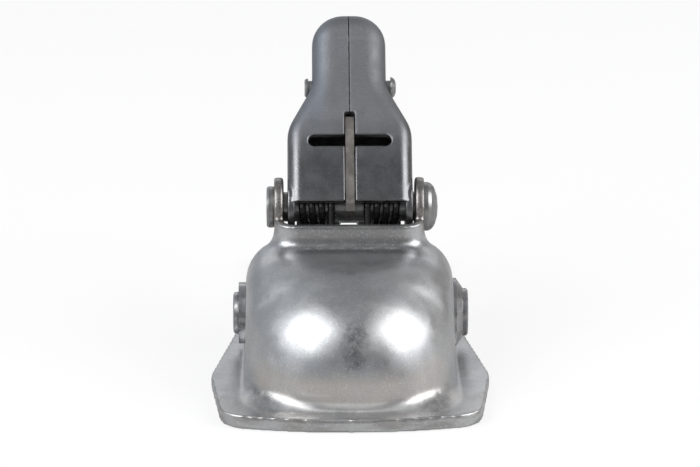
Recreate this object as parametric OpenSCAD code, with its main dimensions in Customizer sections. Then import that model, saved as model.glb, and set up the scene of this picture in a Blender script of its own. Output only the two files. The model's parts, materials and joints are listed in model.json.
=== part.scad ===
// Quick-release coupling head for a tow ball, closed.
// X is across, Y runs back towards the trailer and Z is up. The origin lies under the ball's centre,
// in the plane of the base's underside.

/* [Ball socket] */
// Diameter of the tow ball
ball_d = 50; // [48:0.1:52]
// Height of the ball's centre above the underside of the base
ball_z = 20.5; // [19:0.5:22]
// Gap between the ball and the inside of the dome
socket_gap = 1; // [0.5:0.1:1.5]

/* [Pressed body] */
// Thickness of the pressed plate
plate_t = 4.8; // [4:0.1:5.5]
// Half of the hood's width at its side walls
hood_half_w = 42; // [40:0.5:46]
// Height of the flat top of the hood
hood_top_z = 51.3; // [50:0.1:55]
// Where the hood's front wall stands, ahead of the ball's centre
hood_front = 31; // [30:0.5:34]
// Radius of the hood's front corners in plan
hood_corner_r = 16; // [12:0.5:20]
// Height of the hood's front wall under the ramp
front_wall_z = 15; // [9:0.5:17]
// Radius of the hood's upper edges
hood_edge_r = 17; // [13:0.5:18]
// Where the flat top starts to round down at the front
hood_top_front_y = 21.3; // [18:0.1:24]
// Where the flat top starts to round down at the back
hood_top_rear_y = 40; // [36:0.5:46]
// Where the hood meets the base at the back
hood_rear_y = 92; // [88:1:96]
// Half of the hood's width at its back end
hood_rear_half_w = 34; // [30:0.5:36]

/* [Base flange] */
// Thickness of the flange
flange_t = 5.6; // [5:0.1:6]
// Front edge of the flange, ahead of the ball's centre
flange_front = 39.2; // [37:0.1:44]
// Radius of the curved front edge
flange_front_r = 200; // [160:5:240]
// Half of the width at the front corners
flange_front_half_w = 52; // [50:0.5:54]
// Half of the width at the widest corners, beside the ball
flange_half_w = 55.8; // [54:0.1:60]
// Where the widest corners are
flange_wide_y = 9; // [4:1:16]
// Half of the width of the tongue at the back
tongue_half_w = 39; // [37:0.5:44]
// Where the sides become parallel
tongue_start_y = 98; // [94:1:100]
// Back edge of the base
tongue_end_y = 158; // [154:1:170]

/* [Mounting holes] */
// Diameter of the four mounting holes
bolt_hole_d = 13; // [10:0.5:14]
// Distance between the holes across the base
bolt_spacing_x = 50; // [44:1:52]
// Distance between the holes along the base
bolt_spacing_y = 40; // [34:1:42]
// Distance from the back edge to the nearer holes
bolt_edge = 13; // [11:0.5:16]

/* [Collar and ears] */
// Half of the width over the collar and the ears
collar_half_w = 30.4; // [30:0.1:31.4]
// Thickness of the collar's walls and of the ears
ear_t = 3.8; // [3:0.1:3.8]
// Front face of the collar
collar_front_y = 31; // [30:0.1:33]
// Height of the collar's lip
collar_lip_z = 60.6; // [58:0.1:61]
// Outer radius of the collar's front corners
collar_corner_r = 9; // [6:0.5:12]
// Radius of the ears round the handle pin
ear_r = 12; // [10:0.5:13]
// Back end of the opening in the top
opening_rear_y = 80; // [76:1:82]

/* [Handle] */
// Where the handle pin lies behind the ball's centre
pin_y = 51.3; // [50:0.1:53]
// Height of the handle pin
pin_z = 62; // [61:0.1:64]
// Diameter of the handle pin
pin_d = 12; // [10:0.5:12]
// Slope of the closed handle above the horizontal
handle_slope = 45; // [42:1:50]
// Thickness of the handle's sheet
sheet_t = 3; // [2:0.1:3]
// Half of the handle's width over its legs
handle_half_w = 25.4; // [24:0.1:25.6]
// Half of the width of the grip
grip_half_w = 15.2; // [13:0.1:17]
// Length of the handle above the pin
handle_len = 84.9; // [80:0.1:90]
// How far the face reaches below the pin
face_below = 3.3; // [2:0.1:4]
// Outer face of the handle, ahead of the pin
face_n = 12.6; // [12.6:0.1:14]
// Outer radius of the bend between the face and the walls
bend_r = 5.5; // [4:0.5:6]
// Outer radius of the same bend at the grip
grip_bend_r = 9; // [5:0.5:10]
// Depth of the walls behind the pin at the base
base_depth = 12; // [10:0.5:14]
// Depth of the walls behind the pin's level at the grip
grip_depth = 6; // [3:0.5:8]
// Where the shoulders start
shoulder_t = 26.7; // [23:0.1:27.5]
// How far the shoulders slope inwards, in degrees
shoulder_a = 25.6; // [22:0.1:30]
// Radius of the shoulders
shoulder_r = 20; // [14:1:24]
// Radius of the neck
neck_r = 22; // [14:1:24]
// Corner radius of the grip's round end
tip_r = 13; // [10:0.5:14]
// How far the handle stands to the right in its play between the ears
handle_play = 0.4; // [0:0.1:0.4]
// Gap between the two halves
seam = 0.2; // [0.2:0.1:1]
// Length of the slot across the face
cross_slot_len = 33.8; // [24:0.2:36]
// Width of the slot across the face
cross_slot_w = 5.2; // [4:0.1:6]
// Middle of the slot across the face
cross_slot_t = 24; // [22:0.5:26]

/* [Trigger] */
// Thickness of the trigger's plate
trigger_t = 3.5; // [3:0.1:4]
// Gap on each side of the plate in the slot
trigger_gap = 0.4; // [0.3:0.05:0.6]
// Upper end of the trigger's slot
trigger_slot_t = 37; // [37:0.5:40]

/* [Neck rivet] */
// Where the neck rivet is along the handle
neck_t = 53.3; // [51:0.1:56]
// Height of the neck rivet over the pin's level
neck_n = 2; // [2:0.1:3]
// Diameter of the neck rivet
neck_d = 6; // [4:0.5:6]
// Outer diameter of the tube on the neck rivet
neck_tube_d = 8; // [7.4:0.1:8]

/* [Springs] */
// Diameter of the springs' wire
wire_d = 3; // [2:0.1:3]
// Number of coils of each spring
coils = 4; // [2:1:4]
// Pitch of the coils
coil_pitch = 4; // [3.5:0.1:4.2]

/* [Jaw and links] */
// Where the jaw pin lies behind the ball's centre
jaw_y = 39; // [38:0.5:41]
// Height of the jaw pin
jaw_z = 20.7; // [20:0.1:21.5]
// Diameter of the jaw pin
jaw_pin_d = 12; // [10:0.5:12]
// Half of the jaw's width
jaw_half_w = 18; // [14:0.5:18]
// Distance from each pin to its link pin
crank_r = 16; // [15.5:0.1:17]
// Direction of the two cranks below the horizontal
crank_a = 25; // [24:0.5:28]
// Diameter of the link pins
link_pin_d = 6; // [5:0.5:6]
// Thickness of the links
link_t = 3; // [2.5:0.1:3]
// Width of the links
link_w = 6; // [5:0.1:6.4]

/* [Hidden] */

// Radial clearance of a pin in its bore
run_gap = 0.05;
// Clearance between pieces that pass each other
side_gap = 0.3;
// Overlap that joins or cuts cleanly
eps = 0.01;
zinc = [0.72, 0.73, 0.74];
dark_zinc = [0.45, 0.46, 0.47];
spring_black = [0.12, 0.12, 0.13];

socket_r = ball_d / 2 + socket_gap;
dome_r = socket_r + plate_t;
pin_r = pin_d / 2;
coil_r = pin_r + side_gap + wire_d / 2;
crank = [crank_r * cos(crank_a), -crank_r * sin(crank_a)];
round_fn = 64;

// A plate of the outline drawn in the Y-Z plane, from one X to another.
module slab_x(x0, x1) {
    translate([x0, 0, 0]) rotate([90, 0, 90]) linear_extrude(x1 - x0) children();
}

module rod_x(r, x0, x1) {
    translate([x0, 0, 0]) rotate([0, 90, 0]) cylinder(r = r, h = x1 - x0, $fn = round_fn);
}

// A turned piece about the X axis, from its radius and X pairs.
module turned_x(points) {
    rotate([0, 90, 0]) rotate_extrude($fn = round_fn) polygon(points);
}

// The handle's own frame: Y runs up the handle from the pin and Z comes out of its face.
module at_handle() {
    translate([handle_play, pin_y, pin_z]) rotate([handle_slope, 0, 0]) children();
}

module at_pin() {
    translate([0, pin_y, pin_z]) children();
}

module at_jaw_pin() {
    translate([0, jaw_y, jaw_z]) children();
}

module at_ball() {
    translate([0, 0, ball_z]) children();
}

function arc(c, r, a0, a1, n) = [for (i = [0:n]) c + r * [cos(a0 + (a1 - a0) * i / n), sin(a0 + (a1 - a0) * i / n)]];

// Plan of the base flange, right half from the front to the back.
corner_r = 12;
wide_r = 12;
tongue_r = 8;
front_c = [0, -flange_front + flange_front_r];
front_a = asin((flange_front_half_w - corner_r) / (flange_front_r - corner_r));
front_corner = front_c + (flange_front_r - corner_r) * [sin(front_a), -cos(front_a)];
side_a = atan2(flange_half_w - flange_front_half_w, flange_wide_y - front_corner[1]);
taper_a = atan2(flange_half_w - tongue_half_w, tongue_start_y - flange_wide_y);
wide_c = [flange_half_w - wide_r, flange_wide_y];
tongue_c = [tongue_half_w + wide_r, tongue_start_y];
flange_half = concat(
    arc(front_c, flange_front_r, -90, -90 + front_a, 10),
    arc(front_corner, corner_r, -90 + front_a, -side_a, 8),
    arc(wide_c, wide_r, -side_a, taper_a, 8),
    arc(tongue_c, wide_r, 180 + taper_a, 180, 6),
    arc([tongue_half_w - tongue_r, tongue_end_y - tongue_r], tongue_r, 0, 90, 8));

module flange_plan() {
    flipped = [for (i = [len(flange_half) - 1:-1:1]) [-flange_half[i][0], flange_half[i][1]]];
    polygon(concat(flange_half, flipped));
}

// The hood's form, set in by one plate thickness for its inside.
hood_tail_r = hood_corner_r - 6;
module hood(inset, bottom) {
    slope = plate_t * (sqrt(2) - 1);
    foot_z = inset > 0 ? flange_t - slope + 1 : flange_t + 1;
    corner = hood_corner_r - inset;
    edge = hood_edge_r - inset;
    tail = hood_tail_r - inset;
    hull() {
        for (s = [-1, 1]) {
            translate([s * (hood_half_w - hood_corner_r), hood_corner_r - hood_front, bottom])
                cylinder(r = corner, h = front_wall_z - slope * inset / plate_t - bottom, $fn = 32);
            translate([s * (hood_half_w - hood_edge_r), hood_top_front_y, hood_top_z - hood_edge_r])
                sphere(r = edge, $fn = 32);
            translate([s * (hood_half_w - hood_edge_r), hood_top_rear_y, hood_top_z - hood_edge_r])
                sphere(r = edge, $fn = 32);
            translate([s * (hood_half_w - hood_corner_r), hood_top_rear_y, bottom])
                cylinder(r = corner, h = foot_z - bottom, $fn = 32);
            translate([s * (hood_rear_half_w - hood_tail_r), hood_rear_y - hood_tail_r, bottom])
                cylinder(r = tail, h = foot_z - bottom, $fn = 32);
        }
    }
}

module dome(r, bottom) {
    cap = arc([0, ball_z], r, 0, 89, 36);
    rotate_extrude($fn = 96)
        polygon(concat([[0, bottom], [r, bottom]], cap, [[0, cap[36][1]]]));
}

// Plan of the collar round the opening, with round front corners.
module collar_plan(half_w, front_y, rear_y, r) {
    for (s = [-1, 1])
        translate([s * (half_w - r), front_y + r]) circle(r = r, $fn = round_fn);
    translate([-half_w, front_y + r]) square([2 * half_w, rear_y - front_y - r]);
    translate([-half_w + r, front_y]) square([2 * (half_w - r), r + eps]);
}

// Side view of the collar and the ears. Its foot stays inside the hood's plate.
module ear_side() {
    pin = [pin_y, pin_z];
    fall = (hood_top_z - flange_t) / (hood_rear_y - hood_top_rear_y);
    foot_y = opening_rear_y - 10;
    foot = [foot_y, hood_top_z - fall * (foot_y - hood_top_rear_y) - 2];
    back = [foot_y, foot[1] + 4];
    back_reach = norm(back - pin);
    back_touch = atan2(back[1] - pin_z, back[0] - pin_y) + acos(ear_r / back_reach);
    polygon([
        [collar_front_y, hood_top_z - hood_edge_r],
        [collar_front_y, collar_lip_z],
        [pin_y, collar_lip_z],
        pin,
        pin + (ear_r - 1) * [cos(back_touch), sin(back_touch)],
        back,
        foot]);
    translate(pin) circle(r = ear_r, $fn = round_fn);
}

module body() {
    color(zinc) difference() {
        union() {
            linear_extrude(flange_t) flange_plan();
            hood(0, 1);
            dome(dome_r, 1);
            intersection() {
                translate([0, 0, flange_t])
                    linear_extrude(80) collar_plan(collar_half_w, collar_front_y, opening_rear_y, collar_corner_r);
                slab_x(-collar_half_w - 1, collar_half_w + 1) ear_side();
            }
        }
        hood(plate_t, -1);
        dome(socket_r, -1);
        translate([-70, -70, -70]) cube([140, 140, 70]);
        translate([0, 0, ball_z])
            linear_extrude(80)
                collar_plan(collar_half_w - ear_t, collar_front_y + ear_t, opening_rear_y, collar_corner_r - ear_t);
        at_pin() rod_x(pin_r + run_gap, -40, 40);
        at_jaw_pin() rod_x(jaw_pin_d / 2 + run_gap, -60, 60);
        for (x = [-1, 1], y = [0, 1])
            translate([x * bolt_spacing_x / 2, tongue_end_y - bolt_edge - y * bolt_spacing_y, -1])
                cylinder(d = bolt_hole_d, h = flange_t + 2, $fn = round_fn);
    }
}

// Outline stations of the right half shell: place and outward direction.
tip_x = grip_half_w - tip_r;
arc_end = [handle_half_w - shoulder_r + shoulder_r * cos(shoulder_a), shoulder_t + shoulder_r * sin(shoulder_a)];
neck_start_x = grip_half_w + neck_r - neck_r * cos(shoulder_a);
neck_c_t = arc_end[1] + (arc_end[0] - neck_start_x) / tan(shoulder_a) + neck_r * sin(shoulder_a);
function station(c, r, a) = [c[0] + r * cos(a), c[1] + r * sin(a), cos(a), sin(a)];
outline = concat(
    [for (t = [-face_below, 4, 12, shoulder_t - 2]) [handle_half_w, t, 1, 0]],
    [for (i = [0:6]) station([handle_half_w - shoulder_r, shoulder_t], shoulder_r, shoulder_a * i / 6)],
    [for (i = [0:6]) let (a = shoulder_a * (1 - i / 6))
        [grip_half_w + neck_r - neck_r * cos(a), neck_c_t - neck_r * sin(a), cos(a), sin(a)]],
    [for (i = [0:14]) station([tip_x, handle_len - tip_r], tip_r, 90 * i / 14)],
    [[seam / 2, handle_len, 0, 1]]);

function eased(x) = x <= 0 ? 0 : x >= 1 ? 1 : x * x * (3 - 2 * x);
function wall_depth(t) = base_depth - (base_depth - grip_depth) * eased((t - 12) / 36);

// One cross-section of the half shell at a station, as a closed ring of points.
bend_n = 8;
function shell_ring(s) =
    let (
        p = [s[0], s[1]],
        out = [s[2], s[3]],
        low = -wall_depth(s[1]),
        bend_r = bend_r + (grip_bend_r - bend_r) * eased((s[1] - shoulder_t) / 26),
        inset = p - bend_r * out,
        seam_y = -face_below + (inset[1] + face_below) * 0.97,
        outer = [for (i = [0:bend_n]) let (b = 90 - 90 * i / bend_n)
            [bend_r * (1 - cos(b)), face_n - bend_r * (1 - sin(b))]],
        inner_r = bend_r - sheet_t,
        inner = [for (i = [0:bend_n]) let (b = 90 * i / bend_n)
            [bend_r - inner_r * cos(b), face_n - bend_r + inner_r * sin(b)]],
        rim = concat(outer, [[0, low], [sheet_t, low]], inner))
    concat(
        [[seam / 2, seam_y, face_n]],
        [for (q = rim) [p[0] - q[0] * out[0], p[1] - q[0] * out[1], q[1]]],
        [[seam / 2, seam_y, face_n - sheet_t]]);

module half_shell_skin() {
    rings = [for (s = outline) shell_ring(s)];
    m = len(rings[0]);
    k = len(rings);
    points = [for (r = rings) for (p = r) p];
    sides = [for (j = [0:k - 2]) for (i = [0:m - 1])
        let (a = j * m + i, b = j * m + (i + 1) % m, c = (j + 1) * m + (i + 1) % m, d = (j + 1) * m + i)
        each [[a, c, b], [a, d, c]]];
    // Each end face is laid in strips between the sheet's outer and inner line
    ends = [for (i = [0:m / 2 - 2]) let (e = (k - 1) * m, a = i, b = i + 1, c = m - 2 - i, d = m - 1 - i)
        each [[a, b, c], [a, c, d], [e + a, e + c, e + b], [e + a, e + d, e + c]]];
    polyhedron(points = points, faces = concat(sides, ends), convexity = 6);
}

// Side view of the leg, in the handle's frame.
leg_r = 11.5;
lobe_r = 6.5;
crank_in_handle = crank_r * [cos(-crank_a - handle_slope), sin(-crank_a - handle_slope)];
module leg_side() {
    circle(r = leg_r, $fn = round_fn);
    translate(crank_in_handle) circle(r = lobe_r, $fn = round_fn);
    polygon([
        [-face_below + 0.3, face_n - bend_r - 0.2],
        [shoulder_t - 1, face_n - bend_r - 0.2],
        [shoulder_t - 1, -wall_depth(shoulder_t - 1)],
        crank_in_handle + (lobe_r - 0.6) * [cos(-30), sin(-30)],
        crank_in_handle + (lobe_r - 0.6) * [cos(-155), sin(-155)],
        (leg_r - 1) * [cos(-155), sin(-155)],
        (leg_r - 1) * [cos(140), sin(140)]]);
}

// The half shell on the right of the seam.
module half_shell() {
    difference() {
        union() {
            half_shell_skin();
            slab_x(handle_half_w - sheet_t + 0.05, handle_half_w - 0.05) leg_side();
        }
        rod_x(pin_r + run_gap, 0, 60);
        translate([0, crank_in_handle[0], crank_in_handle[1]]) rod_x(link_pin_d / 2 + run_gap, 0, 60);
        translate([0, neck_t, neck_n]) rod_x(neck_d / 2 + run_gap, 0, 60);
        translate([0, 0, face_n - sheet_t - 1]) linear_extrude(sheet_t + 2) {
            translate([-1, cross_slot_t - cross_slot_w / 2])
                square([cross_slot_len / 2 - cross_slot_w / 2 + 1, cross_slot_w]);
            translate([cross_slot_len / 2 - cross_slot_w / 2, cross_slot_t])
                circle(d = cross_slot_w, $fn = round_fn);
            translate([-1, -face_below - 1])
                square([trigger_t / 2 + trigger_gap + 1, trigger_slot_t + face_below + 1]);
        }
    }
}

module handle_right() {
    color(dark_zinc) at_handle() half_shell();
}

module handle_left() {
    color(dark_zinc) at_handle() mirror([1, 0, 0]) half_shell();
}

module handle_pin() {
    x = collar_half_w;
    color(zinc) at_pin() {
        rod_x(pin_r, -x - 0.5, x + 0.5);
        translate([x + 0.05, 0, 0]) turned_x([[0, 0], [9.9, 0], [9.9, 1.6], [9.3, 2.9], [8, 4],
            [6.6, 4.6], [6.2, 4.4], [5.8, 4.8], [4, 5.3], [0, 5.6]]);
        translate([-x - 0.05, 0, 0]) mirror([1, 0, 0])
            turned_x([[0, 0], [8.2, 0], [8.4, 0.6], [8.4, 2.2], [7.8, 3], [5, 3.1], [0, 3.1]]);
    }
}

// Side view of the trigger's plate, in the handle's frame.
trigger_front_n = face_n - 0.3;
trigger_profile = [
    [-7.2, 5], [-8.3, 7.2], [-7, 10.4], [-4, trigger_front_n - 0.4], [17.4, trigger_front_n - 0.4],
    [18.6, trigger_front_n], [29, trigger_front_n], [35.4, 11], [37.6, 4.4], [43, 0], [46, -6],
    [44, -8.4], [22, -8.4], [12, -7.2], [8, -6.7], [0, 0]];

// Half outline of the finger pad, which lies across the plate's back edge.
pad_x = handle_half_w - sheet_t - 2.4;
pad_tip_x = grip_half_w - sheet_t - 1.4;
pad_t = 2.4;
pad_end = handle_len - 6;
pad_half = concat(
    [[0, 10], [6, 10], [9, 20], [pad_x - 3, 20], [pad_x, 23], [pad_x, 28], [pad_tip_x + 3, 42], [pad_tip_x, 52]],
    arc([pad_tip_x - 6, pad_end - 6], 6, 0, 90, 6),
    [[0, pad_end]]);

module finger_pad() {
    for (side = [0, 1]) mirror([side, 0, 0]) intersection() {
        translate([0, 0, -30]) linear_extrude(40) polygon(pad_half);
        slab_x(-eps, 40) polygon([
            [8, -7.2], [44, -7.2], [54, -8.6], [pad_end - 8, -8.6], [pad_end + 2, -10.6],
            [pad_end + 2, -10.6 - pad_t], [pad_end - 8, -8.6 - pad_t], [54, -8.6 - pad_t],
            [44, -7.2 - pad_t], [8, -7.2 - pad_t]]);
    }
}

module trigger() {
    x = trigger_t / 2;
    color(dark_zinc) at_handle() difference() {
        union() {
            slab_x(-x, x) polygon(trigger_profile);
            rod_x(coil_r + wire_d / 2, -x, x);
            finger_pad();
        }
        rod_x(pin_r + run_gap, -x - 1, x + 1);
        // The saddle is open below the pin
        slab_x(-x - 1, x + 1)
            polygon([[0, 0], 30 * [cos(148), sin(148)], [-40, -20], 30 * [cos(-40), sin(-40)]]);
    }
}

// Each end of the neck rivet bears on the flaring wall with its lower rim.
function neck_wall_x(t) = grip_half_w + neck_r - neck_r * cos(asin((neck_c_t - t) / neck_r));
neck_head_r = 4.5;
neck_tail_r = 3.9;
head_x = neck_wall_x(neck_t - neck_head_r) + 0.05;
tail_x = neck_wall_x(neck_t - neck_tail_r) + 0.05;
module neck_rivet() {
    color(zinc) at_handle() translate([0, neck_t, neck_n]) {
        rod_x(neck_d / 2, -tail_x - 0.3, head_x + 0.3);
        translate([head_x, 0, 0])
            turned_x([[0, 0], [neck_head_r, 0], [4.3, 0.8], [3.4, 1.7], [2, 2.2], [0, 2.2]]);
        translate([-tail_x, 0, 0]) mirror([1, 0, 0])
            turned_x([[0, 0], [neck_tail_r, 0], [neck_tail_r, 0.8], [3.3, 1.5], [0, 1.5]]);
    }
}

module neck_spacer() {
    x = grip_half_w - sheet_t - 0.6;
    color(zinc) at_handle() translate([0, neck_t, neck_n]) difference() {
        rod_x(neck_tube_d / 2, -x, x);
        rod_x(neck_d / 2 + run_gap, -x - 1, x + 1);
    }
}

// A tube of wire swept along a path, one ring of points at each place.
function unit(v) = v / norm(v);
function ring_at(path, i, r, n) =
    let (
        last = len(path) - 1,
        ahead = path[min(i + 1, last)] - path[max(i - 1, 0)],
        d = unit(ahead),
        side = unit(abs(d[0]) < 0.9 ? cross(d, [1, 0, 0]) : cross(d, [0, 1, 0])),
        up = cross(side, d))
    [for (j = [0:n - 1]) path[i] + r * (cos(360 * j / n) * side + sin(360 * j / n) * up)];

module wire(path, r, n) {
    rings = [for (i = [0:len(path) - 1]) ring_at(path, i, r, n)];
    k = len(rings);
    points = [for (ring = rings) for (p = ring) p];
    sides = [for (j = [0:k - 2]) for (i = [0:n - 1])
        let (a = j * n + i, b = j * n + (i + 1) % n, c = (j + 1) * n + (i + 1) % n, d = (j + 1) * n + i)
        each [[a, b, c], [a, c, d]]];
    first = [for (i = [n - 1:-1:0]) i];
    last = [for (i = [0:n - 1]) (k - 1) * n + i];
    polyhedron(points = points, faces = concat(sides, [first, last]), convexity = 10);
}

// The right spring's path about the pin: the leg that bears on the collar, the coils, and the leg
// that lies along the handle, behind its face.
coil_x0 = 7.3;
collar_leg_a = 160;
collar_leg_len = 17;
handle_leg_len = 20;
handle_leg_x = coil_x0 + coil_pitch * (coils - 1);
handle_leg_a = handle_slope + 90;
coil_turns = coils - 1 + (collar_leg_a - handle_leg_a) / 360;
coil_steps = round(26 * coil_turns);
function along(a) = [0, cos(a), sin(a)];
function coil_point(u) = [coil_x0 + u * (handle_leg_x - coil_x0), 0, 0]
    + coil_r * along(collar_leg_a - u * 360 * coil_turns);
spring_path = concat(
    [for (f = [1, 0.1]) coil_point(0) + f * collar_leg_len * along(collar_leg_a + 90)],
    [for (i = [0:coil_steps]) coil_point(i / coil_steps)],
    [for (f = [0.1, 1]) coil_point(1) + f * handle_leg_len * along(handle_slope)]);

module spring_right() {
    color(spring_black) at_pin() wire(spring_path, wire_d / 2, 10);
}

module spring_left() {
    color(spring_black) at_pin() mirror([1, 0, 0]) wire(spring_path, wire_d / 2, 10);
}

// Side view of the jaw about the ball's centre and the jaw pin.
seat_r = ball_d / 2 + 0.4;
cradle_r = 31.4;
hub_r = 10;
tail_r = 6;
jaw_low = -47;
jaw_high = 38;
function polar(r, a) = r * [cos(a), sin(a)];
module jaw_side() {
    translate([0, ball_z])
        polygon(concat(
            arc([0, 0], cradle_r, jaw_low, jaw_high, 24),
            arc([0, 0], seat_r - 8, jaw_high, jaw_low, 12)));
    translate([jaw_y, jaw_z]) circle(r = hub_r, $fn = round_fn);
    polygon([
        [0, ball_z] + polar(cradle_r - 1, 26),
        [0, ball_z] + polar(cradle_r - 1, -24),
        [jaw_y, jaw_z] + polar(hub_r, -100),
        [jaw_y, jaw_z] + polar(hub_r, 100)]);
}

module tail_side() {
    translate([jaw_y, jaw_z]) circle(r = hub_r, $fn = round_fn);
    translate([jaw_y, jaw_z] + crank) circle(r = tail_r, $fn = round_fn);
    polygon([
        [jaw_y, jaw_z] + polar(hub_r, 90 - crank_a + 10),
        [jaw_y, jaw_z] + crank + polar(tail_r, 90 - crank_a + 10),
        [jaw_y, jaw_z] + crank + polar(tail_r, -90 - crank_a - 10),
        [jaw_y, jaw_z] + polar(hub_r, -90 - crank_a - 10)]);
}

lug_t = 4;
link_x = jaw_half_w + 0.4;
link_eye_r = 5;
link_spool_r = 6.3;
module jaw() {
    color(dark_zinc) difference() {
        union() {
            slab_x(-jaw_half_w, jaw_half_w) jaw_side();
            for (s = [0, 1]) mirror([s, 0, 0])
                slab_x(jaw_half_w - lug_t, jaw_half_w) tail_side();
        }
        at_ball() sphere(r = seat_r, $fn = 96);
        at_jaw_pin() rod_x(jaw_pin_d / 2 + run_gap, -60, 60);
        at_jaw_pin() translate([0, crank[0], crank[1]]) rod_x(link_pin_d / 2 + run_gap, -60, 60);
        translate([-60, -40, -60 + 1]) cube([120, 120, 60]);
    }
}

module jaw_pin() {
    x = hood_half_w;
    color(zinc) at_jaw_pin() {
        rod_x(jaw_pin_d / 2, -x - 3.2, x + 4);
        translate([x + 3.95, 0, 0]) turned_x([[0, 0], [9.7, 0], [9.7, 1.5], [9, 2.1], [0, 2.2]]);
        translate([-x - 3, 0, 0]) mirror([1, 0, 0])
            turned_x([[0, 0], [8.4, 0], [8.6, 0.5], [8.4, 1.7], [7.6, 2.2], [0, 2.2]]);
    }
}

module jaw_washer_left() {
    color(zinc) at_jaw_pin() difference() {
        rod_x(12.5, -hood_half_w - 2.95, -hood_half_w - 0.1);
        rod_x(jaw_pin_d / 2 + run_gap, -60, 0);
    }
}

module jaw_washer_right() {
    bore = jaw_pin_d / 2 + run_gap;
    color(zinc) at_jaw_pin() translate([hood_half_w + 0.1, 0, 0])
        turned_x([[bore, 0], [13.9, 0], [13.9, 1.2], [10.2, 3.8], [bore, 3.8]]);
}

module jaw_spacer() {
    at_jaw_pin() difference() {
        rod_x(8.2, jaw_half_w + side_gap, hood_half_w - plate_t - 1.8);
        rod_x(jaw_pin_d / 2 + run_gap, 0, 60);
    }
}

module jaw_spacer_right() {
    color(zinc) jaw_spacer();
}

module jaw_spacer_left() {
    color(zinc) mirror([1, 0, 0]) jaw_spacer();
}

// The link stands between the two crank ends, parallel to the line between the two pins.
module link(x0) {
    top = [pin_y, pin_z] + crank;
    low = [jaw_y, jaw_z] + crank;
    across = unit([top[1] - low[1], low[0] - top[0]]) * link_w / 2;
    difference() {
        union() {
            for (p = [top, low])
                translate([0, p[0], p[1]]) rod_x(link_eye_r, x0, x0 + link_t);
            slab_x(x0, x0 + link_t) polygon([top + across, low + across, low - across, top - across]);
        }
        for (p = [top, low])
            translate([0, p[0], p[1]]) rod_x(link_pin_d / 2 + run_gap, x0 - 1, x0 + link_t + 1);
    }
}

module link_right() {
    color(zinc) link(link_x);
}

module link_left() {
    color(zinc) link(-link_x - link_t);
}

module link_pin_upper() {
    x = handle_half_w + 0.05;
    color(zinc) at_pin() translate([handle_play, crank[0], crank[1]]) {
        rod_x(link_pin_d / 2, -x - 0.3, x + 0.3);
        for (side = [0, 1]) mirror([side, 0, 0]) translate([x, 0, 0])
            turned_x([[0, 0], [4.6, 0], [4.4, 0.3], [3.6, 0.45], [0, 0.45]]);
    }
}

// A spool between the links, waisted in the middle.
module link_spacer() {
    x = link_x - side_gap;
    bore = link_pin_d / 2 + run_gap;
    waist = link_spool_r - 1.2;
    color(zinc) at_pin() translate([0, crank[0], crank[1]])
        turned_x([[bore, -x], [link_spool_r, -x], [link_spool_r, -4], [waist, -3], [waist, 3],
            [link_spool_r, 4], [link_spool_r, x], [bore, x]]);
}

module link_pin_lower() {
    x = link_x + link_t + 0.15;
    color(zinc) at_jaw_pin() translate([0, crank[0], crank[1]]) {
        rod_x(link_pin_d / 2, -x - 0.3, x + 0.3);
        for (side = [0, 1]) mirror([side, 0, 0]) translate([x, 0, 0])
            turned_x([[0, 0], [4.6, 0], [4.4, 0.9], [3.6, 1.5], [0, 1.5]]);
    }
}

body();
handle_left();
handle_right();
handle_pin();
trigger();
neck_rivet();
neck_spacer();
spring_left();
spring_right();
jaw();
jaw_pin();
jaw_washer_left();
jaw_washer_right();
jaw_spacer_left();
jaw_spacer_right();
link_left();
link_right();
link_pin_upper();
link_spacer();
link_pin_lower();
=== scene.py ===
"""Looks of the trailer coupling head: smooth pressed-steel skins, finishes, light and camera."""

import json
import math

import bmesh
import bpy
import numpy as np
from bpy.props import FloatProperty, FloatVectorProperty, IntProperty, PointerProperty
from mathutils import Euler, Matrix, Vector
from mathutils.kdtree import KDTree


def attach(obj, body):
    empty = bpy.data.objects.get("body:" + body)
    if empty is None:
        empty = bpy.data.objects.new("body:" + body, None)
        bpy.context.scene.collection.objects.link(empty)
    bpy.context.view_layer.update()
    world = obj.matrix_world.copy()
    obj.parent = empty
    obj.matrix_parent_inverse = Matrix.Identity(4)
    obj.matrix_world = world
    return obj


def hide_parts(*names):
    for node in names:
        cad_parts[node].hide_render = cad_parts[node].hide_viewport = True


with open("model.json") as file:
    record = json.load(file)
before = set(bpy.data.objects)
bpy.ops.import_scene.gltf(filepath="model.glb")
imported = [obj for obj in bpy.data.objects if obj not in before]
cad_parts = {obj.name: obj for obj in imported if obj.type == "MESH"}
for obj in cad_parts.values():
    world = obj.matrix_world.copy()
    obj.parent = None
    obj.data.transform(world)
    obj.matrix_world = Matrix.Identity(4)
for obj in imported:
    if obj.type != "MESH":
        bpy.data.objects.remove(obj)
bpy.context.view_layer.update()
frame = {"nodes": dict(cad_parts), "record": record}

bl_info = {
    "name": "Coupling head looks",
    "version": (1, 0, 0),
    "blender": (4, 2, 0),
    "location": "View3D > Sidebar > Coupling",
    "description": "Skins, finishes, light and camera for the trailer coupling head",
    "category": "Object",
}

MM = 0.001

# Places and lengths in millimetres, on the part's axes
BALL_CENTRE = (0, 0, 20.5)
BALL_ROOM = 25.5
FRONT_EDGE = (0, -39.2, 4.8)

# The seam of the handle: what lies within its reach is drawn to its edge
SEAM_X = 0.4
SEAM_REACH = 0.5
SEAM_HALF_WIDTH = 0.02

# The round form of the front: where its middle stands, and how far the form reaches from it
FORM_BACK = 12
FORM_LEVEL = 18
FORM_HALF_WIDTH = 42
FORM_LENGTH = 43
FORM_HEIGHT = 33.3
# Nearer than this to the middle nothing is moved
FORM_CORE = 8

# The picture that the camera is set for, in pixels, and the width of its sensor in millimetres
PICTURE_WIDTH = 700.0
PICTURE_MIDDLE_ROW = 233.5
SENSOR_WIDTH = 36.0

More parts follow.
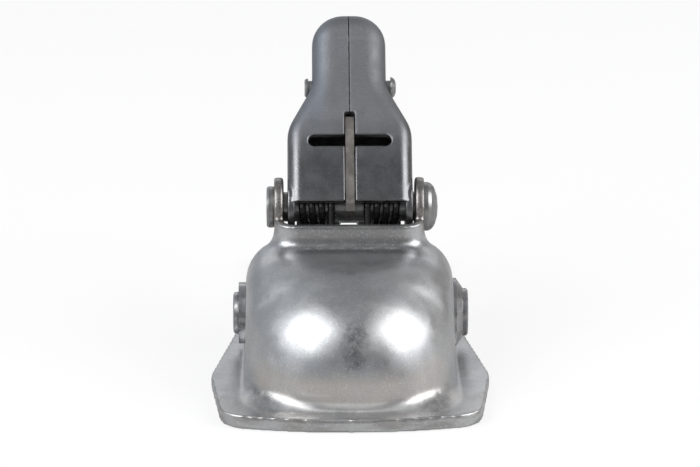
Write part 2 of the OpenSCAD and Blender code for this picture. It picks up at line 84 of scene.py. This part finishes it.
WHITE = (1, 1, 1, 1)
COOL_LEFT = (0.80, 0.85, 0.92, 1)
WARM_RIGHT = (0.66, 0.635, 0.62, 1)
LOW_RIVET = ("jaw_pin", "jaw_washer_left", "jaw_washer_right")


class CouplingSkinSettings(bpy.types.PropertyGroup):
    """How finely the skins are made, and how far they are softened"""

    body_grid: FloatProperty(
        name="Body grid", description="Size of the grid that the body's skin is made on",
        default=0.0008, unit="LENGTH")
    body_soften: IntProperty(
        name="Body softening", description="Smoothing steps on the body's edges", default=6)
    dome_soften: IntProperty(
        name="Dome softening", description="More smoothing steps on the front of the hood", default=120)
    base_soften: IntProperty(
        name="Base softening", description="More smoothing steps on the front and the foot of the walls",
        default=60)
    collar_soften: IntProperty(
        name="Collar softening", description="More smoothing steps round the collar's root", default=160)
    body_triangles: IntProperty(
        name="Body triangles", description="Triangles that the body's skin may have", default=180000)
    handle_grid: FloatProperty(
        name="Handle grid", description="Size of the grid that the handle's skins are made on",
        default=0.00045, unit="LENGTH")
    handle_soften: IntProperty(
        name="Handle softening", description="Smoothing steps on the handle's edges", default=6)


class CouplingFinishSettings(bpy.types.PropertyGroup):
    """Colours and gloss of the two platings"""

    zinc: FloatVectorProperty(
        name="Zinc", description="Colour of the body's plating", subtype="COLOR", size=3,
        default=(0.56, 0.57, 0.58))
    handle: FloatVectorProperty(
        name="Handle", description="Colour of the handle's plating", subtype="COLOR", size=3,
        default=(0.215, 0.22, 0.23))
    zinc_roughness: FloatProperty(
        name="Zinc roughness", description="Roughness of the body's plating", default=0.36)
    handle_roughness: FloatProperty(
        name="Handle roughness", description="Roughness of the handle's plating", default=0.28)


class CouplingStageSettings(bpy.types.PropertyGroup):
    """Where the camera stands, and how strong the lights are"""

    distance: FloatProperty(
        name="Camera distance", description="From the camera to the front edge of the base",
        default=1.5, unit="LENGTH")
    elevation: FloatProperty(
        name="Elevation", description="Slope of the line from the camera to the front edge",
        default=math.radians(22.5), unit="ROTATION")
    yaw: FloatProperty(
        name="Yaw", description="How far the camera stands to the left",
        default=math.radians(0.7), unit="ROTATION")
    scale: FloatProperty(
        name="Scale", description="Millimetres at the front edge for one pixel of a 700 pixel wide picture",
        default=0.39)
    front_row: FloatProperty(
        name="Front row", description="Row of a 467 pixel high picture where the front edge stands",
        default=422.0)
    shift: FloatProperty(name="Shift", description="Sideways shift of the picture", default=-0.0025)
    key_light: FloatProperty(name="Key", description="Power of the two side boxes", default=14.0)
    back_light: FloatProperty(name="Back", description="Power of the light behind", default=2.6)
    world_light: FloatProperty(name="World", description="Strength of the surroundings", default=0.42)


class CouplingSettings(bpy.types.PropertyGroup):
    """All settings of the coupling head"""

    skin: PointerProperty(type=CouplingSkinSettings)
    finish: PointerProperty(type=CouplingFinishSettings)
    stage: PointerProperty(type=CouplingStageSettings)


class Tree:
    """The nodes of a material or a world, with short ways to add and join them."""

    def __init__(self, owner):
        owner.use_nodes = True
        self.nodes = owner.node_tree.nodes
        self.links = owner.node_tree.links
        self.nodes.clear()

    def put(self, socket, value):
        """Joins a socket to another node's output, or sets its value."""
        if isinstance(value, bpy.types.NodeSocket):
            self.links.new(value, socket)
        else:
            socket.default_value = value

    def node(self, kind, inputs=(), **settings):
        """Adds a node with its settings, and its inputs by name or by place."""
        n = self.nodes.new(kind)
        for key, value in settings.items():
            setattr(n, key, value)
        for key, value in dict(inputs).items():
            self.put(n.inputs[key], value)
        return n

    def to_camera(self, seen, rest):
        """One shader for the camera's own rays and one for all others."""
        ray = self.node("ShaderNodeLightPath").outputs["Is Camera Ray"]
        return self.node("ShaderNodeMixShader", {"Fac": ray, 1: rest, 2: seen}).outputs["Shader"]


class Finish(Tree):
    """A metal's material, whose patterns lie on object coordinates."""

    def __init__(self, name):
        self.material = bpy.data.materials.new(name)
        super().__init__(self.material)
        self.shader = self.node("ShaderNodeBsdfPrincipled")
        self.node("ShaderNodeOutputMaterial", {"Surface": self.shader.outputs["BSDF"]})
        self.coords = self.node("ShaderNodeTexCoord").outputs["Object"]
        self.axes = None

    def noise(self, scale, detail=3.0, rough=0.55, stretch=(1, 1, 1), offset=(0, 0, 0), turn=(0, 0, 0)):
        place = self.node("ShaderNodeMapping", {
            "Vector": self.coords, "Scale": stretch, "Location": offset, "Rotation": turn})
        return self.node("ShaderNodeTexNoise", {
            "Vector": place.outputs["Vector"], "Scale": scale, "Detail": detail,
            "Roughness": rough}).outputs["Fac"]

    def ramp(self, value, low, high, out_low=0.0, out_high=1.0):
        """Carries a value from one span over to another, and holds it at the ends."""
        return self.node("ShaderNodeMapRange", {
            "Value": value, "From Min": low, "From Max": high,
            "To Min": out_low, "To Max": out_high}, clamp=True).outputs["Result"]

    def math(self, operation, a, b):
        return self.node("ShaderNodeMath", {0: a, 1: b}, operation=operation).outputs["Value"]

    def vector(self, operation, a, b=(0, 0, 0), result="Vector"):
        return self.node("ShaderNodeVectorMath", {0: a, 1: b}, operation=operation).outputs[result]

    def axis(self, name):
        """One coordinate of the object, in metres."""
        if self.axes is None:
            self.axes = self.node("ShaderNodeSeparateXYZ", {"Vector": self.coords}).outputs
        return self.axes[name]

    def band(self, name, low, high, soft):
        """1 between two places on an axis, in millimetres, easing to 0 over a soft length at each end."""
        value = self.axis(name)
        rise = self.ramp(value, (low - soft) * MM, low * MM)
        fall = self.ramp(value, high * MM, (high + soft) * MM, 1.0, 0.0)
        return self.math("MULTIPLY", rise, fall)

    def spot(self, centre, radius, soft, squash=(1, 1, 1)):
        """1 inside an ellipsoid round a point in metres, easing to 0 over the soft share of its radius."""
        away = self.vector("SUBTRACT", self.coords, centre)
        share = self.vector("MULTIPLY", away, tuple(q / radius for q in squash))
        reach = self.vector("LENGTH", share, result="Value")
        return self.ramp(reach, 1.0 - soft, 1.0, 1.0, 0.0)

    def mix(self, factor, a, b):
        """The second colour over the first."""
        a, b = ((*c, 1.0) if isinstance(c, tuple) else c for c in (a, b))
        return self.node("ShaderNodeMix", {"Factor": factor, 6: a, 7: b}, data_type="RGBA").outputs[2]

    def lay_colour(self, base, colour, strength, *masks):
        """A colour laid over another where all the masks meet."""
        where = masks[0]
        for mask in masks[1:]:
            where = self.math("MULTIPLY", where, mask)
        return self.mix(self.math("MULTIPLY", where, strength), base, colour)

    def bump(self, height, strength, distance):
        normal = self.node("ShaderNodeBump", {
            "Strength": strength, "Distance": distance, "Height": height}).outputs["Normal"]
        self.put(self.shader.inputs["Normal"], normal)


def shade(colour, factor):
    """A colour made darker or lighter, and never above 1."""
    return tuple(min(1.0, c * factor) for c in colour)


def scratches(g, threshold, seed):
    """Fine straight scratches in a few directions, 1 on a scratch."""
    total = None
    for i in range(3):
        turn = (0.3 * i + seed, 0.7 * i, 0.9 * i + seed * 2)
        n = g.noise(220, 1.0, 0.5, stretch=(0.06, 1, 1), offset=(seed * 3.1 + i, 0, 0), turn=turn)
        line = g.ramp(n, threshold, threshold + 0.03)
        total = line if total is None else g.math("MAXIMUM", total, line)
    return total


def plated(name, colour, roughness, tint, grain, scratch_seed, stains_and_light):
    """Zinc-plated steel: a mottled metal with its own stains and painted light, bright and dark grain and
    scratches.
    """
    g = Finish(name)
    cloud = g.noise(28, 4.0, 0.6)
    blotch = g.noise(90, 3.0, 0.6, offset=(3, 1, 2))
    base = g.mix(g.ramp(cloud, 0.35, 0.65), shade(colour, 0.86), shade(colour, 1.08))
    base = g.mix(g.ramp(blotch, 0.52, 0.72, 0.0, 0.35), base, tint)
    base = stains_and_light(g, base)
    fine = g.noise(1500, 2.0, 0.6)
    base = g.mix(g.ramp(fine, 0.56, 0.74, 0.0, 0.5), base, shade(colour, 1.6))
    pits = g.noise(1300, 2.0, 0.6, offset=(6, 2, 4))
    base = g.mix(g.ramp(pits, 0.60, 0.78, 0.0, 0.5), base, shade(colour, 0.45))
    marks = scratches(g, 0.74, scratch_seed)
    base = g.lay_colour(base, shade(colour, 1.35), 0.25, marks)
    g.put(g.shader.inputs["Base Color"], base)
    g.shader.inputs["Metallic"].default_value = 1.0
    uneven = g.noise(160, 3.0, 0.6, offset=(1, 5, 2))
    rough = g.ramp(uneven, 0.3, 0.7, roughness - 0.05, roughness + 0.07)
    # Above the slots the grip is duller, from handling
    duller = g.ramp(g.axis("Z"), 0.082, 0.098, 0.0, 0.31)
    g.put(g.shader.inputs["Roughness"], g.math("ADD", rough, duller))
    height = g.math("SUBTRACT", g.math("MULTIPLY", fine, 0.8), g.math("MULTIPLY", marks, 0.4))
    g.bump(height, grain, 0.00011)
    return g.material


def body_stains_and_light(g, base):
    """The body's marks: stains, painted shade and painted highlights, from the foot of the front up to the
    ears.
    """
    ragged = g.ramp(g.noise(300, 4.0, 0.65, offset=(2, 2, 7)), 0.42, 0.62)
    patchy = g.ramp(g.noise(60, 3.0, 0.6, offset=(5, 1, 3)), 0.3, 0.7, 0.5, 1.0)
    wear_and_shade = g.ramp(g.noise(140, 4.0, 0.6, stretch=(0.4, 1, 2)), 0.45, 0.6)
    # Painted reflection of a warm floor, in patches on the low front
    warm_floor_reflection = (g.band("Z", 9, 19, 6), g.band("Y", -60, -16, 8), patchy)
    base = g.lay_colour(base, (0.60, 0.54, 0.48), 0.55, *warm_floor_reflection)
    # Dark spots, broken up by a ragged pattern: three on the front of the dome, painted shade standing for
    # the dark reflection between its highlights; one below the collar and one on the left shoulder
    for centre, radius, squash, strength in (
            ((0.0016, -0.028, 0.0335), 0.0095, (1.5, 1, 0.7), 0.9),
            ((0.0010, -0.030, 0.0250), 0.0055, (0.9, 1, 1.0), 0.75),
            ((0.0010, -0.026, 0.0400), 0.0110, (1.4, 1, 0.7), 0.45),
            ((-0.0010, 0.004, 0.0510), 0.0030, (0.7, 1, 1), 0.7),
            ((-0.0320, 0.004, 0.0400), 0.0022, (1, 1, 1), 0.6)):
        dark_spot = (g.spot(centre, radius, 0.8, squash), g.ramp(ragged, 0.0, 1.0, 0.25, 1.0))
        base = g.lay_colour(base, (0.16, 0.17, 0.18), strength, *dark_spot)
    corner = g.ramp(ragged, 0.0, 1.0, 0.45, 1.0)
    # Colour, strength, what breaks the mark up, and its bands across, along and up
    for colour, strength, broken, *bands in (
            # Painted shade in the valley in front of the collar, and a painted highlight along the crease in
            # it
            ((0.13, 0.13, 0.13), 0.55, None, (-25, 25, 7), (26.5, 30, 3), (46, 54, 2)),
            ((0.85, 0.86, 0.88), 0.5, ragged, (-24, 22, 2), (28.2, 28.7, 0.4), (48, 56, 2)),
            # A painted highlight on the fillet at the foot, a painted dark reflection as a band under the
            # dome, and darker corners of the foot: dirt, and painted shade that dulls the fillet's highlight
            # there
            ((0.98, 0.98, 0.98), 0.6, None, (-30, 30, 8), (-40, -27, 2), (6.6, 8.6, 1.2)),
            ((0.27, 0.30, 0.34), 0.35, None, (-24, 24, 12), (-60, -16, 8), (20, 25, 4)),
            ((0.20, 0.21, 0.22), 0.6, corner, (-38, -29, 4), (-40, -8, 6), (6.0, 9.0, 2)),
            ((0.20, 0.21, 0.22), 0.6, corner, (29, 36, 4), (-40, -8, 6), (6.0, 9.0, 2)),
            # The collar's front and its rim, the ears in painted shade, and the base's edge, darkened in
            # streaks by wear and by painted shade that dulls its highlight
            ((0.30, 0.29, 0.28), 0.5, None, (-20, 20, 6), (24, 36, 2), (55, 60, 2)),
            ((0.22, 0.22, 0.22), 0.6, None, (-27, 27, 3), (24, 40, 2), (59.6, 62, 0.8)),
            ((0.25, 0.235, 0.22), 0.9, None, None, (38, 90, 3), (57, 90, 4)),
            ((0.32, 0.31, 0.30), 0.65, wear_and_shade, None, None, (-1, 5.2, 0.5))):
        masks = [g.band(axis, *span) for axis, span in zip("XYZ", bands) if span]
        base = g.lay_colour(base, colour, strength, *masks, *([broken] if broken else []))
    return base


def handle_stains_and_light(g, base):
    """The handle's marks: darker towards the pin, lighter and bluer at the grip, a painted cool reflection
    on the left, a painted highlight along the lower edge, a dark seam.
    """
    up = g.axis("Z")
    base = g.mix(g.ramp(up, 0.060, 0.100, 0.45, 0.0), base, (0.195, 0.19, 0.19))
    base = g.mix(g.ramp(up, 0.098, 0.124, 0.0, 0.6), base, (0.25, 0.263, 0.28))
    # Painted reflection: the left of the upper handle bluer, as of a cool room on that side
    cool_reflection = (g.band("X", -60, -11, 4), g.ramp(up, 0.085, 0.1))
    base = g.lay_colour(base, (0.30, 0.34, 0.40), 0.4, *cool_reflection)
    broken = g.ramp(g.noise(420, 2.0, 0.5, offset=(4, 4, 1)), 0.35, 0.5, 0.55, 1.0)
    # Painted highlight along the handle's lower edge, broken up
    edge_highlight = (g.band("X", -22, 22, 2), g.band("Y", 41, 43.4, 0.4), g.band("Z", 65.5, 67.2, 0.4), broken)
    base = g.lay_colour(base, (0.80, 0.81, 0.83), 0.75, *edge_highlight)
    seam = g.math("MULTIPLY", g.band("X", SEAM_X - 0.2, SEAM_X + 0.2, 0.15), broken)
    return g.mix(seam, base, (0.02, 0.02, 0.02))


def plain_metal(name, colour, roughness, metallic=1.0):
    """A plain part's metal, slightly uneven in colour and gloss."""
    g = Finish(name)
    cloud = g.ramp(g.noise(120, 3.0, 0.6), 0.35, 0.65)
    g.put(g.shader.inputs["Base Color"], g.mix(cloud, shade(colour, 0.8), shade(colour, 1.15)))
    g.shader.inputs["Metallic"].default_value = metallic
    rough = g.ramp(g.noise(400, 2.0, 0.5), 0.3, 0.7, roughness - 0.06, roughness + 0.08)
    g.put(g.shader.inputs["Roughness"], rough)
    g.bump(g.noise(1800, 2.0, 0.5), 0.2, 0.00004)
    return g.material


def skin_of(node, grid):
    """A copy of a CAD node, merged and laid on an even grid, not yet softened."""
    mesh = frame["nodes"][node].data.copy()
    bm = bmesh.new()
    bm.from_mesh(mesh)
    bmesh.ops.remove_doubles(bm, verts=bm.verts, dist=0.002 * MM)
    bmesh.ops.recalc_face_normals(bm, faces=bm.faces)
    bm.to_mesh(mesh)
    bm.free()
    obj = bpy.data.objects.new(node + "_skin", mesh)
    bpy.context.collection.objects.link(obj)
    remesh = obj.modifiers.new("Grid", "REMESH")
    remesh.mode = "VOXEL"
    remesh.voxel_size = grid
    remesh.adaptivity = 0.0
    bake(obj)
    obj.data.materials.clear()
    return obj


def bake(obj):
    """Applies the object's modifiers to its mesh."""
    graph = bpy.context.evaluated_depsgraph_get()
    mesh = bpy.data.meshes.new_from_object(obj.evaluated_get(graph))
    obj.modifiers.clear()
    old = obj.data
    obj.data = mesh
    bpy.data.meshes.remove(old)


def soften(obj, steps, weight=None):
    """Evens out the mesh, everywhere or by a weight for each vertex, in twentieths."""
    if steps < 1:
        return
    smooth = obj.modifiers.new("Soften", "SMOOTH")
    smooth.factor = 0.5
    smooth.iterations = steps
    if weight is not None:
        group = obj.vertex_groups.new(name="soften")
        levels = np.round(np.clip(weight, 0, 1) * 20).astype(int)
        for level in range(1, 21):
            picked = np.nonzero(levels == level)[0].tolist()
            if picked:
                group.add(picked, level / 20, "REPLACE")
        smooth.vertex_group = "soften"
    bake(obj)
    obj.vertex_groups.clear()


def reduce(obj, triangles):
    """Brings a mesh down to a number of triangles."""
    now = sum(len(p.vertices) - 2 for p in obj.data.polygons)
    if now > triangles:
        decimate = obj.modifiers.new("Reduce", "DECIMATE")
        decimate.ratio = triangles / now
        bake(obj)


def places(obj):
    """The places of a mesh's vertices, in millimetres."""
    co = np.empty(len(obj.data.vertices) * 3)
    obj.data.vertices.foreach_get("co", co)
    return co.reshape(-1, 3) / MM


def move_to(obj, co):
    """Moves a mesh's vertices to new places, in millimetres."""
    obj.data.vertices.foreach_set("co", (co * MM).reshape(-1))
    obj.data.update()


def ease(x):
    """From 0 to 1, level at both ends."""
    x = np.clip(x, 0, 1)
    return x * x * (3 - 2 * x)


def soft_places(co):
    """How far each vertex of the body is evened out: round the dome, along the base, at the collar."""
    x, y, z = np.abs(co[:, 0]), co[:, 1], co[:, 2]
    outside = ease((z - 5.8) / 1.5)
    front = (1 - ease((y - 24) / 6)) * outside
    wide = front * (1 - ease((x - 38) / 4) * ease((y + 2) / 8)) * ease((z - 7) / 5)
    base = outside * (1 - ease((z - 14) / 6)) * (1 - ease((y - 84) / 8))
    round_collar = np.where((x > 27.4) | (y < 33.6), 1, 0) * ease((y - 22) / 3) * (1 - ease((y - 60) / 10))
    collar = round_collar * ease((z - 47.5) / 1.5) * (1 - ease((z - 56.5) / 3.5))
    inside = (x < 36.2) & (z < 5.0)
    return [np.where(inside, 0, w) for w in (wide, np.maximum(base * 0.7, front * 0.5), collar)]


def round_front(obj):
    """Moves the front of the hood onto one round form, in which the dome runs out into the sides."""
    co = places(obj)
    normal = np.empty(co.size)
    obj.data.vertices.foreach_get("normal", normal)
    normal = normal.reshape(-1, 3)
    y, z = co[:, 1], co[:, 2]
    weight = ease((z - 5.7) / 2.2) * (1 - ease((y - 14) / 12))
    # Distances from the form's middle: to both sides, forwards and upwards only
    out = np.column_stack([co[:, 0], np.minimum(y - FORM_BACK, 0), np.maximum(z - FORM_LEVEL, 0)])
    # The section is squarer towards the back, and the plan is squarer towards the foot
    power = 2.15 + 2.35 * np.clip((y - 1) / 25, 0, 1)
    bow = 2.0 + 0.6 * ease((28 - z) / 22)
    beside, ahead = np.abs(out[:, 0] / FORM_HALF_WIDTH), np.abs(out[:, 1] / FORM_LENGTH)
    plan = (beside ** bow + ahead ** bow) ** (1 / bow)
    form = (plan ** power + (out[:, 2] / FORM_HEIGHT) ** power) ** (1 / power)
    scale = 1 / np.maximum(form, 0.2)
    reach = np.linalg.norm(out, axis=1)
    way = out / np.maximum(reach, 0.001)[:, None]
    zone = np.nonzero((weight > 0) & (reach > FORM_CORE))[0]
    facing = np.einsum("ij,ij->i", normal, out) > 0
    tree = KDTree(len(zone))
    for i in zone[facing[zone]]:
        tree.insert(way[i], int(i))
    tree.balance()
    # The inside follows the nearest outside, so the plate keeps about its thickness
    for i in zone[~facing[zone]]:
        scale[i] = scale[tree.find(way[i])[1]]
    moved = np.zeros(len(co))
    moved[zone] = (scale[zone] - 1) * weight[zone]
    move_to(obj, co + out * moved[:, None])


def keep_ball_room(obj):
    """Pushes out what comes nearer to the ball's centre than the ball and half of its play."""
    co = places(obj)
    away = co - np.array(BALL_CENTRE)
    reach = np.linalg.norm(away, axis=1)
    near = reach < BALL_ROOM
    co[near] += away[near] * (BALL_ROOM / reach[near] - 1)[:, None]
    move_to(obj, co)


def finish_skin(obj, look):
    """Shades a skin smooth and gives it its finish."""
    for polygon in obj.data.polygons:
        polygon.use_smooth = True
    obj.data.materials.append(bpy.data.materials[look])


class COUPLING_OT_body(bpy.types.Operator):
    """Makes the pressed body's skin, with soft blends between dome, hood, base and collar"""

    bl_idname = "coupling.body"
    bl_label = "Body"

    def execute(self, context):
        s = context.scene.coupling.skin
        obj = skin_of("body", s.body_grid)
        soften(obj, s.body_soften)
        round_front(obj)
        wide, base, collar = soft_places(places(obj))
        soften(obj, s.dome_soften, wide)
        soften(obj, s.base_soften, base)
        soften(obj, s.collar_soften, collar)
        keep_ball_room(obj)
        reduce(obj, s.body_triangles)
        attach(obj, "coupling")
        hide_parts("body")
        finish_skin(obj, "zinc_plate_look")
        return {"FINISHED"}


class COUPLING_OT_handle(bpy.types.Operator):
    """Makes the skins of the handle's two half shells, with a fine seam between them"""

    bl_idname = "coupling.handle"
    bl_label = "Handle"

    def execute(self, context):
        s = context.scene.coupling.skin
        for side in ("left", "right"):
            obj = skin_of("handle_" + side, s.handle_grid)
            co = places(obj)
            beside = np.abs(co[:, 0] - SEAM_X)
            edge = SEAM_X + SEAM_HALF_WIDTH * np.sign(co[:, 0] - SEAM_X)
            co[:, 0] = np.where(beside < SEAM_REACH, edge, co[:, 0])
            move_to(obj, co)
            soften(obj, s.handle_soften, ease((beside - SEAM_REACH) / 1.2))
            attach(obj, "handle")
            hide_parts("handle_" + side)
            finish_skin(obj, "handle_look")
        return {"FINISHED"}


class COUPLING_OT_finishes(bpy.types.Operator):
    """Makes the finishes and gives them to the CAD nodes"""

    bl_idname = "coupling.finishes"
    bl_label = "Finishes"

    def execute(self, context):
        f = context.scene.coupling.finish
        zinc = plated("zinc_plate_look", tuple(f.zinc), f.zinc_roughness, (0.50, 0.52, 0.57),
                      grain=0.5, scratch_seed=0.5, stains_and_light=body_stains_and_light)
        handle = plated("handle_look", tuple(f.handle), f.handle_roughness, (0.22, 0.23, 0.26),
                        grain=0.45, scratch_seed=0.8, stains_and_light=handle_stains_and_light)
        looks = {
            "zinc_plate": zinc,
            "handle_steel": handle,
            "fixings": plain_metal("fixings_look", (0.34, 0.34, 0.34), 0.36),
            "trigger_steel": plain_metal("trigger_look", (0.34, 0.32, 0.30), 0.36),
            "jaw_steel": plain_metal("jaw_look", (0.40, 0.40, 0.40), 0.42),
            "spring_steel": plain_metal("spring_look", (0.018, 0.017, 0.017), 0.28, 0.6),
        }
        low_rivet = plain_metal("rivets_look", (0.46, 0.46, 0.47), 0.30)
        for part in frame["record"]["subparts"]:
            materials = frame["nodes"][part["node"]].data.materials
            materials.clear()
            materials.append(low_rivet if part["node"] in LOW_RIVET else looks[part["material_slot"]])
        return {"FINISHED"}


def area_light(name, place, aim, size, power):
    """A rectangular soft box that faces a point."""
    light = bpy.data.lights.new(name, "AREA")
    light.shape = "RECTANGLE"
    light.size, light.size_y = size
    light.energy = power
    obj = bpy.data.objects.new(name, light)
    obj.location = place
    obj.rotation_euler = (Vector(aim) - Vector(place)).to_track_quat("-Z", "Y").to_euler()
    bpy.context.collection.objects.link(obj)


def floor_look():
    """White to the camera, with enough of a lit surface in it to keep the shadow; matt grey otherwise."""
    material = bpy.data.materials.new("floor_look")
    t = Tree(material)
    white = t.node("ShaderNodeEmission", {"Color": WHITE, "Strength": 1.0}).outputs["Emission"]
    shaded = t.node("ShaderNodeBsdfDiffuse", {"Color": (0.95, 0.95, 0.95, 1)}).outputs["BSDF"]
    matt = t.node("ShaderNodeBsdfDiffuse", {"Color": (0.62, 0.61, 0.60, 1)}).outputs["BSDF"]
    pale = t.node("ShaderNodeMixShader", {"Fac": 0.78, 1: shaded, 2: white}).outputs["Shader"]
    t.node("ShaderNodeOutputMaterial", {"Surface": t.to_camera(pale, matt)})
    return material


def add_floor():
    """A wide floor just below the base."""
    bm = bmesh.new()
    bmesh.ops.create_grid(bm, x_segments=1, y_segments=1, size=6.0)
    mesh = bpy.data.meshes.new("floor")
    bm.to_mesh(mesh)
    bm.free()
    floor = bpy.data.objects.new("floor", mesh)
    bpy.context.collection.objects.link(floor)
    floor.location = (0, 0, -0.2 * MM)
    mesh.materials.append(floor_look())


def studio_world(strength):
    """White to the camera; to the metal a dimmer room, cool on the left, warm on the right, light behind."""
    world = bpy.data.worlds.new("studio")
    t = Tree(world)
    seen = t.node("ShaderNodeBackground", {"Color": WHITE, "Strength": 1.0}).outputs["Background"]
    way = t.node("ShaderNodeTexCoord").outputs["Generated"]
    axes = t.node("ShaderNodeSeparateXYZ", {"Vector": way}).outputs
    across = t.node("ShaderNodeMapRange", {
        "Value": axes["X"], "From Min": -0.8, "From Max": 0.8}).outputs["Result"]
    tone = t.node("ShaderNodeMix", {
        "Factor": across, 6: COOL_LEFT, 7: WARM_RIGHT}, data_type="RGBA").outputs[2]
    level = t.node("ShaderNodeMapRange", {
        "Value": axes["Y"], "From Min": -0.9, "From Max": 0.9,
        "To Min": strength * 0.75, "To Max": strength * 1.2}).outputs["Result"]
    glow = t.node("ShaderNodeBackground", {"Color": tone, "Strength": level}).outputs["Background"]
    t.node("ShaderNodeOutputWorld", {"Surface": t.to_camera(seen, glow)})
    return world


def add_camera(s):
    """The camera at the photo's angle, aimed so that the base's front edge stands on its row."""
    data = bpy.data.cameras.new("camera")
    camera = bpy.data.objects.new("camera", data)
    bpy.context.collection.objects.link(camera)
    ahead = Vector((math.sin(s.yaw) * math.cos(s.elevation), math.cos(s.yaw) * math.cos(s.elevation),
                    -math.sin(s.elevation)))
    camera.location = Vector(FRONT_EDGE) * MM - ahead * s.distance
    focal = s.distance / (s.scale * MM)
    drop = math.atan((s.front_row - PICTURE_MIDDLE_ROW) / focal)
    camera.rotation_euler = Euler((math.pi / 2 - s.elevation + drop, 0, -s.yaw), "XYZ")
    data.sensor_fit = "HORIZONTAL"
    data.sensor_width = SENSOR_WIDTH
    data.lens = SENSOR_WIDTH * focal / PICTURE_WIDTH
    data.shift_x = s.shift
    data.clip_start = 0.05
    return camera


class COUPLING_OT_stage(bpy.types.Operator):
    """Sets up the floor, the light and the camera"""

    bl_idname = "coupling.stage"
    bl_label = "Stage"

    def execute(self, context):
        s = context.scene.coupling.stage
        scene = context.scene
        add_floor()
        scene.world = studio_world(s.world_light)
        area_light("left_box", (-0.94, -0.46, 0.92), (0, 0, 0.03), (1.1, 1.1), s.key_light)
        area_light("right_box", (1.10, -0.28, 0.82), (0, 0, 0.03), (1.1, 1.1), s.key_light)
        area_light("back_box", (0, 1.5, 0.75), (0, 0.02, 0.04), (2.2, 0.5), s.back_light)
        scene.camera = add_camera(s)
        scene.view_settings.view_transform = "Standard"
        scene.view_settings.look = "None"
        return {"FINISHED"}


class COUPLING_PT_panel(bpy.types.Panel):
    """The coupling head's buttons in the sidebar"""

    bl_label = "Coupling"
    bl_idname = "COUPLING_PT_panel"
    bl_space_type = "VIEW_3D"
    bl_region_type = "UI"
    bl_category = "Coupling"

    def draw(self, context):
        for step in STEPS:
            self.layout.operator(step.bl_idname)


STEPS = (COUPLING_OT_finishes, COUPLING_OT_body, COUPLING_OT_handle, COUPLING_OT_stage)
CLASSES = (CouplingSkinSettings, CouplingFinishSettings, CouplingStageSettings, CouplingSettings,
           *STEPS, COUPLING_PT_panel)


def register():
    for c in CLASSES:
        bpy.utils.register_class(c)
    bpy.types.Scene.coupling = PointerProperty(type=CouplingSettings)


def unregister():
    del bpy.types.Scene.coupling
    for c in reversed(CLASSES):
        bpy.utils.unregister_class(c)


def main():
    register()
    for step in STEPS:
        group, name = step.bl_idname.split(".")
        getattr(getattr(bpy.ops, group), name)()


if __name__ == "__main__":
    main()
